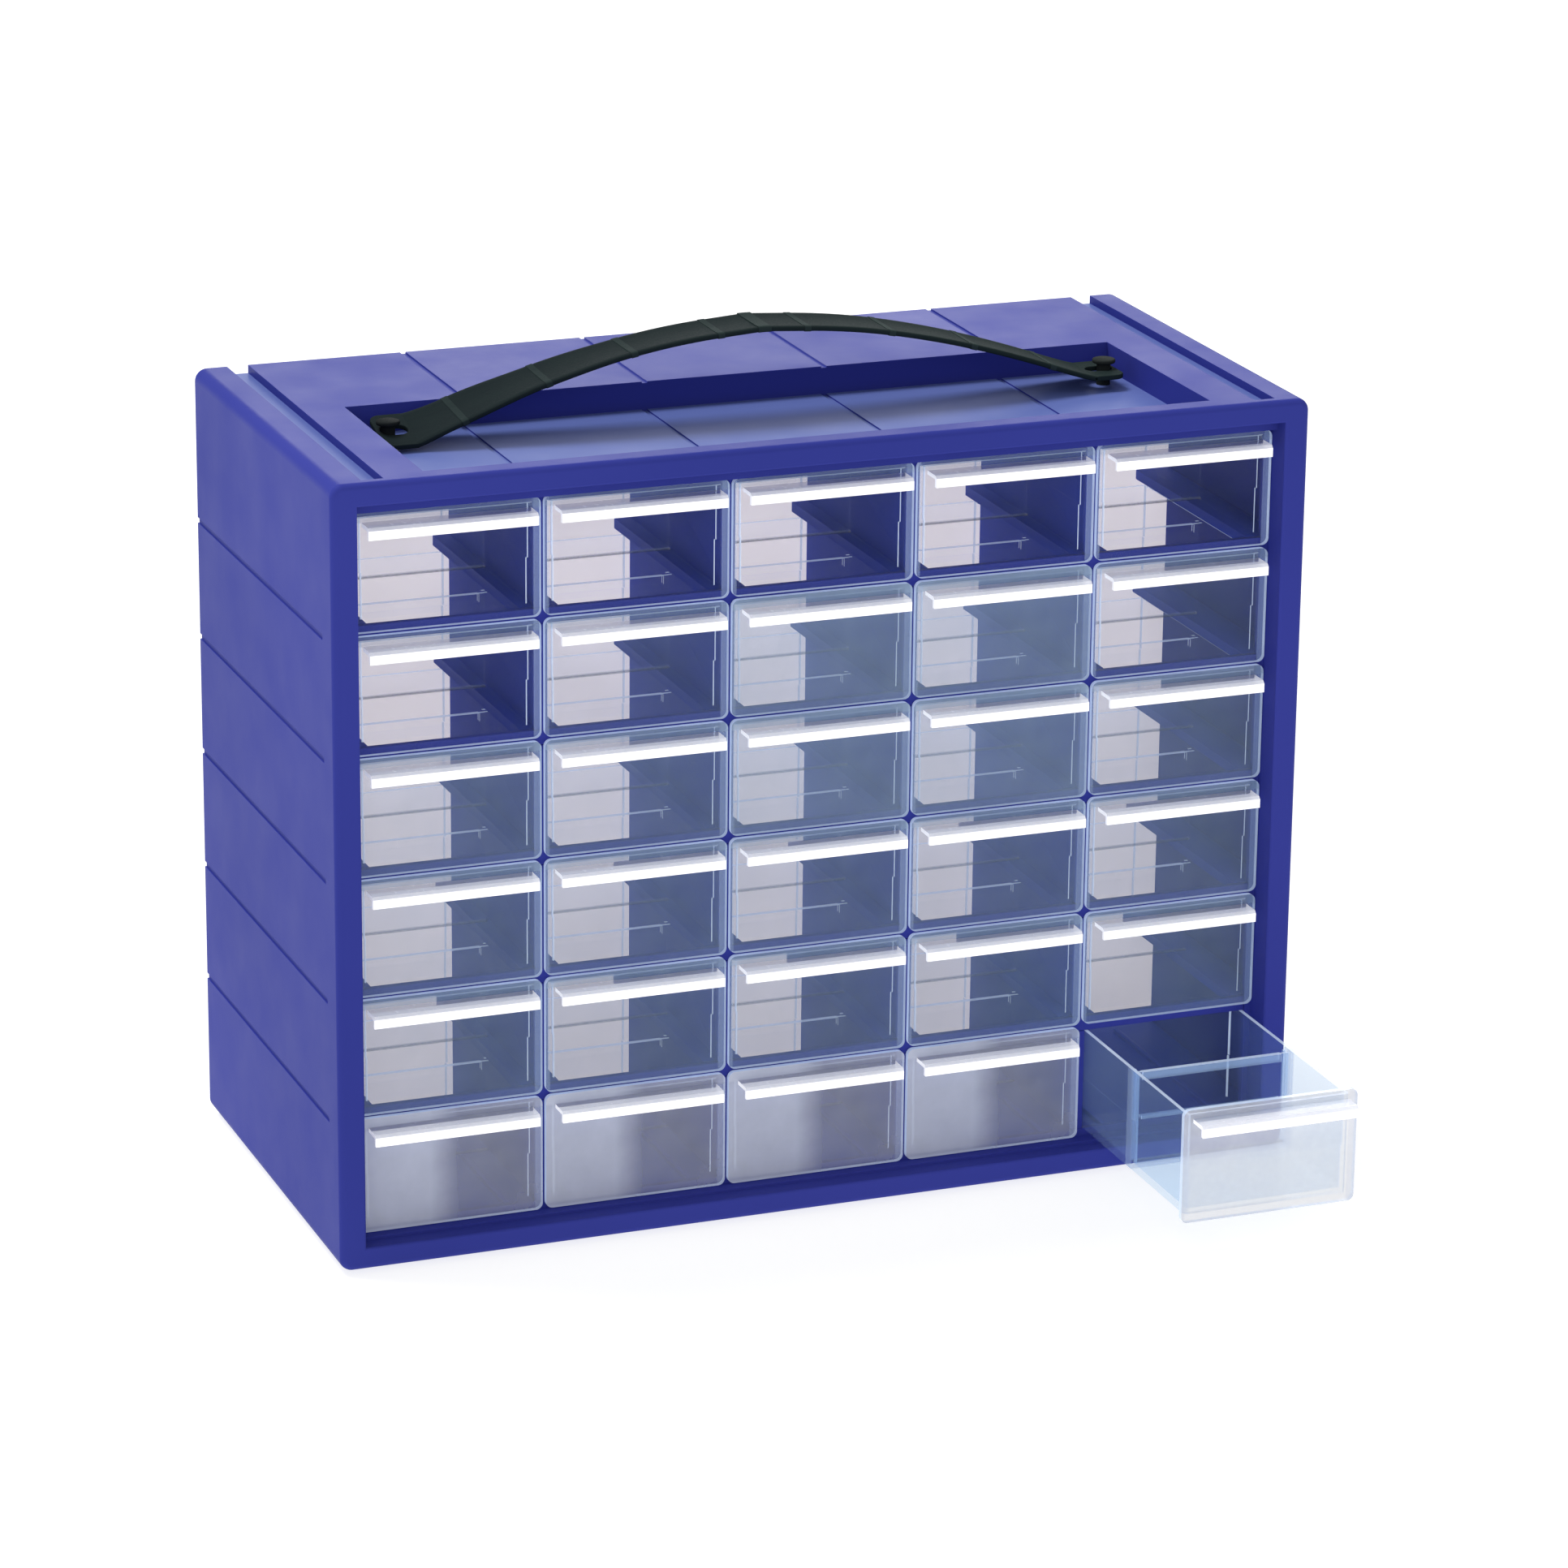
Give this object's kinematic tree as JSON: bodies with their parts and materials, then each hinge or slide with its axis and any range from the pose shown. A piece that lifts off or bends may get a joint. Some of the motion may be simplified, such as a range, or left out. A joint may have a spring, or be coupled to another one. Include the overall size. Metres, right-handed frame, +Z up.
{
  "type": "parts organizer",
  "caption": "Small-parts cabinet: a housing with a grid of clear pull-out drawers, one divider in each drawer, and a flexible carrying strap in a recessed top.",
  "frame": {"origin": "middle of the housing's base, on the surface that the feet stand on", "axes": "+Z up, +X to the right as seen from the front, the drawers open towards -Y"},
  "size_m": [0.36, 0.2528, 0.3082],
  "materials": {
    "housing_blue": "satin",
    "pale_back": "matte",
    "clear_plastic": "clear, polished",
    "strap_rubber": "matte",
    "foot_rubber": "matte"
  },
  "bodies": {
    "housing": {"housing_shell": "housing_blue", "back_panel": "housing_blue", "cell_back": "pale_back", "base_deck": "housing_blue", "side_rails": "housing_blue", "row_bar_1": "housing_blue", "row_bar_2": "housing_blue", "row_bar_3": "housing_blue", "row_bar_4": "housing_blue", "row_bar_5": "housing_blue", "column_wall_1": "housing_blue", "column_wall_2": "housing_blue", "column_wall_3": "housing_blue", "column_wall_4": "housing_blue", "strap_studs": "housing_blue", "feet": "foot_rubber"},
    "drawer_r1c1": {"drawer_r1c1": "clear_plastic"},
    "drawer_r1c2": {"drawer_r1c2": "clear_plastic"},
    "drawer_r1c3": {"drawer_r1c3": "clear_plastic"},
    "drawer_r1c4": {"drawer_r1c4": "clear_plastic"},
    "drawer_r1c5": {"drawer_r1c5": "clear_plastic"},
    "drawer_r2c1": {"drawer_r2c1": "clear_plastic"},
    "drawer_r2c2": {"drawer_r2c2": "clear_plastic"},
    "drawer_r2c3": {"drawer_r2c3": "clear_plastic"},
    "drawer_r2c4": {"drawer_r2c4": "clear_plastic"},
    "drawer_r2c5": {"drawer_r2c5": "clear_plastic"},
    "drawer_r3c1": {"drawer_r3c1": "clear_plastic"},
    "drawer_r3c2": {"drawer_r3c2": "clear_plastic"},
    "drawer_r3c3": {"drawer_r3c3": "clear_plastic"},
    "drawer_r3c4": {"drawer_r3c4": "clear_plastic"},
    "drawer_r3c5": {"drawer_r3c5": "clear_plastic"},
    "drawer_r4c1": {"drawer_r4c1": "clear_plastic"},
    "drawer_r4c2": {"drawer_r4c2": "clear_plastic"},
    "drawer_r4c3": {"drawer_r4c3": "clear_plastic"},
    "drawer_r4c4": {"drawer_r4c4": "clear_plastic"},
    "drawer_r4c5": {"drawer_r4c5": "clear_plastic"},
    "drawer_r5c1": {"drawer_r5c1": "clear_plastic"},
    "drawer_r5c2": {"drawer_r5c2": "clear_plastic"},
    "drawer_r5c3": {"drawer_r5c3": "clear_plastic"},
    "drawer_r5c4": {"drawer_r5c4": "clear_plastic"},
    "drawer_r5c5": {"drawer_r5c5": "clear_plastic"},
    "drawer_r6c1": {"drawer_r6c1": "clear_plastic"},
    "drawer_r6c2": {"drawer_r6c2": "clear_plastic"},
    "drawer_r6c3": {"drawer_r6c3": "clear_plastic"},
    "drawer_r6c4": {"drawer_r6c4": "clear_plastic"},
    "drawer_r6c5": {"drawer_r6c5": "clear_plastic"},
    "divider": {"divider": "clear_plastic"},
    "strap_tab_left": {"strap_tab_left": "strap_rubber"},
    "strap_link_1": {"strap_link_1": "strap_rubber"},
    "strap_link_2": {"strap_link_2": "strap_rubber"},
    "strap_link_3": {"strap_link_3": "strap_rubber"},
    "strap_link_4": {"strap_link_4": "strap_rubber"},
    "strap_link_5": {"strap_link_5": "strap_rubber"},
    "strap_link_6": {"strap_link_6": "strap_rubber"},
    "strap_link_7": {"strap_link_7": "strap_rubber"},
    "strap_link_8": {"strap_link_8": "strap_rubber"},
    "strap_tab_right": {"strap_tab_right": "strap_rubber"}
  },
  "joints": [
    {"name": "drawer_r1c1_slide", "type": "slide", "parent": "housing", "child": "drawer_r1c1", "axis": [0, 1, 0], "range_m": [-0.09, 0]},
    {"name": "drawer_r1c2_slide", "type": "slide", "parent": "housing", "child": "drawer_r1c2", "axis": [0, 1, 0], "range_m": [-0.09, 0]},
    {"name": "drawer_r1c3_slide", "type": "slide", "parent": "housing", "child": "drawer_r1c3", "axis": [0, 1, 0], "range_m": [-0.09, 0]},
    {"name": "drawer_r1c4_slide", "type": "slide", "parent": "housing", "child": "drawer_r1c4", "axis": [0, 1, 0], "range_m": [-0.09, 0]},
    {"name": "drawer_r1c5_slide", "type": "slide", "parent": "housing", "child": "drawer_r1c5", "axis": [0, 1, 0], "range_m": [-0.09, 0]},
    {"name": "drawer_r2c1_slide", "type": "slide", "parent": "housing", "child": "drawer_r2c1", "axis": [0, 1, 0], "range_m": [-0.09, 0]},
    {"name": "drawer_r2c2_slide", "type": "slide", "parent": "housing", "child": "drawer_r2c2", "axis": [0, 1, 0], "range_m": [-0.09, 0]},
    {"name": "drawer_r2c3_slide", "type": "slide", "parent": "housing", "child": "drawer_r2c3", "axis": [0, 1, 0], "range_m": [-0.09, 0]},
    {"name": "drawer_r2c4_slide", "type": "slide", "parent": "housing", "child": "drawer_r2c4", "axis": [0, 1, 0], "range_m": [-0.09, 0]},
    {"name": "drawer_r2c5_slide", "type": "slide", "parent": "housing", "child": "drawer_r2c5", "axis": [0, 1, 0], "range_m": [-0.09, 0]},
    {"name": "drawer_r3c1_slide", "type": "slide", "parent": "housing", "child": "drawer_r3c1", "axis": [0, 1, 0], "range_m": [-0.09, 0]},
    {"name": "drawer_r3c2_slide", "type": "slide", "parent": "housing", "child": "drawer_r3c2", "axis": [0, 1, 0], "range_m": [-0.09, 0]},
    {"name": "drawer_r3c3_slide", "type": "slide", "parent": "housing", "child": "drawer_r3c3", "axis": [0, 1, 0], "range_m": [-0.09, 0]},
    {"name": "drawer_r3c4_slide", "type": "slide", "parent": "housing", "child": "drawer_r3c4", "axis": [0, 1, 0], "range_m": [-0.09, 0]},
    {"name": "drawer_r3c5_slide", "type": "slide", "parent": "housing", "child": "drawer_r3c5", "axis": [0, 1, 0], "range_m": [-0.09, 0]},
    {"name": "drawer_r4c1_slide", "type": "slide", "parent": "housing", "child": "drawer_r4c1", "axis": [0, 1, 0], "range_m": [-0.09, 0]},
    {"name": "drawer_r4c2_slide", "type": "slide", "parent": "housing", "child": "drawer_r4c2", "axis": [0, 1, 0], "range_m": [-0.09, 0]},
    {"name": "drawer_r4c3_slide", "type": "slide", "parent": "housing", "child": "drawer_r4c3", "axis": [0, 1, 0], "range_m": [-0.09, 0]},
    {"name": "drawer_r4c4_slide", "type": "slide", "parent": "housing", "child": "drawer_r4c4", "axis": [0, 1, 0], "range_m": [-0.09, 0]},
    {"name": "drawer_r4c5_slide", "type": "slide", "parent": "housing", "child": "drawer_r4c5", "axis": [0, 1, 0], "range_m": [-0.09, 0]},
    {"name": "drawer_r5c1_slide", "type": "slide", "parent": "housing", "child": "drawer_r5c1", "axis": [0, 1, 0], "range_m": [-0.09, 0]},
    {"name": "drawer_r5c2_slide", "type": "slide", "parent": "housing", "child": "drawer_r5c2", "axis": [0, 1, 0], "range_m": [-0.09, 0]},
    {"name": "drawer_r5c3_slide", "type": "slide", "parent": "housing", "child": "drawer_r5c3", "axis": [0, 1, 0], "range_m": [-0.09, 0]},
    {"name": "drawer_r5c4_slide", "type": "slide", "parent": "housing", "child": "drawer_r5c4", "axis": [0, 1, 0], "range_m": [-0.09, 0]},
    {"name": "drawer_r5c5_slide", "type": "slide", "parent": "housing", "child": "drawer_r5c5", "axis": [0, 1, 0], "range_m": [-0.09, 0]},
    {"name": "drawer_r6c1_slide", "type": "slide", "parent": "housing", "child": "drawer_r6c1", "axis": [0, 1, 0], "range_m": [-0.09, 0]},
    {"name": "drawer_r6c2_slide", "type": "slide", "parent": "housing", "child": "drawer_r6c2", "axis": [0, 1, 0], "range_m": [-0.09, 0]},
    {"name": "drawer_r6c3_slide", "type": "slide", "parent": "housing", "child": "drawer_r6c3", "axis": [0, 1, 0], "range_m": [-0.09, 0]},
    {"name": "drawer_r6c4_slide", "type": "slide", "parent": "housing", "child": "drawer_r6c4", "axis": [0, 1, 0], "range_m": [-0.09, 0]},
    {"name": "drawer_r6c5_slide", "type": "slide", "parent": "housing", "child": "drawer_r6c5", "axis": [0, -1, 0], "range_m": [-0.088, 0.002]},
    {"name": "divider_lift", "type": "slide", "parent": "drawer_r6c5", "child": "divider", "axis": [0, 0, 1], "range_m": [0, 0.04]},
    {"name": "strap_slide_left", "type": "slide", "parent": "housing", "child": "strap_tab_left", "axis": [-1, 0, 0], "range_m": [0, 0.0043]},
    {"name": "strap_bend_left_1", "type": "hinge", "parent": "strap_tab_left", "child": "strap_link_1", "pos_m": [-0.1261, -0.004, 0.2788], "axis": [0, 1, 0], "range_deg": [0, 20]},
    {"name": "strap_bend_left_2", "type": "hinge", "parent": "strap_link_1", "child": "strap_link_2", "pos_m": [-0.09556, -0.004, 0.28992], "axis": [0, 1, 0], "range_deg": [-4, 0]},
    {"name": "strap_bend_left_3", "type": "hinge", "parent": "strap_link_2", "child": "strap_link_3", "pos_m": [-0.06432, -0.004, 0.29887], "axis": [0, 1, 0], "range_deg": [-5, 0]},
    {"name": "strap_bend_left_4", "type": "hinge", "parent": "strap_link_3", "child": "strap_link_4", "pos_m": [-0.03242, -0.004, 0.30507], "axis": [0, 1, 0], "range_deg": [-7, 0]},
    {"name": "strap_slide_right", "type": "slide", "parent": "housing", "child": "strap_tab_right", "axis": [1, 0, 0], "range_m": [0, 0.0043]},
    {"name": "strap_bend_right_1", "type": "hinge", "parent": "strap_tab_right", "child": "strap_link_8", "pos_m": [0.1261, -0.004, 0.2788], "axis": [0, -1, 0], "range_deg": [0, 20]},
    {"name": "strap_bend_right_2", "type": "hinge", "parent": "strap_link_8", "child": "strap_link_7", "pos_m": [0.09556, -0.004, 0.28992], "axis": [0, -1, 0], "range_deg": [-4, 0]},
    {"name": "strap_bend_right_3", "type": "hinge", "parent": "strap_link_7", "child": "strap_link_6", "pos_m": [0.06432, -0.004, 0.29887], "axis": [0, -1, 0], "range_deg": [-5, 0]},
    {"name": "strap_bend_right_4", "type": "hinge", "parent": "strap_link_6", "child": "strap_link_5", "pos_m": [0.03242, -0.004, 0.30507], "axis": [0, -1, 0], "range_deg": [-7, 0]}
  ],
  "couplings": [
    {"joint": "strap_slide_left", "follows": "strap_bend_left_1", "m_per_rad": 0.012275},
    {"joint": "strap_bend_left_2", "follows": "strap_bend_left_1", "ratio": -0.2},
    {"joint": "strap_bend_left_3", "follows": "strap_bend_left_1", "ratio": -0.25},
    {"joint": "strap_bend_left_4", "follows": "strap_bend_left_1", "ratio": -0.35},
    {"joint": "strap_slide_right", "follows": "strap_bend_left_1", "m_per_rad": 0.012275},
    {"joint": "strap_bend_right_1", "follows": "strap_bend_left_1", "ratio": 1},
    {"joint": "strap_bend_right_2", "follows": "strap_bend_left_1", "ratio": -0.2},
    {"joint": "strap_bend_right_3", "follows": "strap_bend_left_1", "ratio": -0.25},
    {"joint": "strap_bend_right_4", "follows": "strap_bend_left_1", "ratio": -0.35}
  ]
}
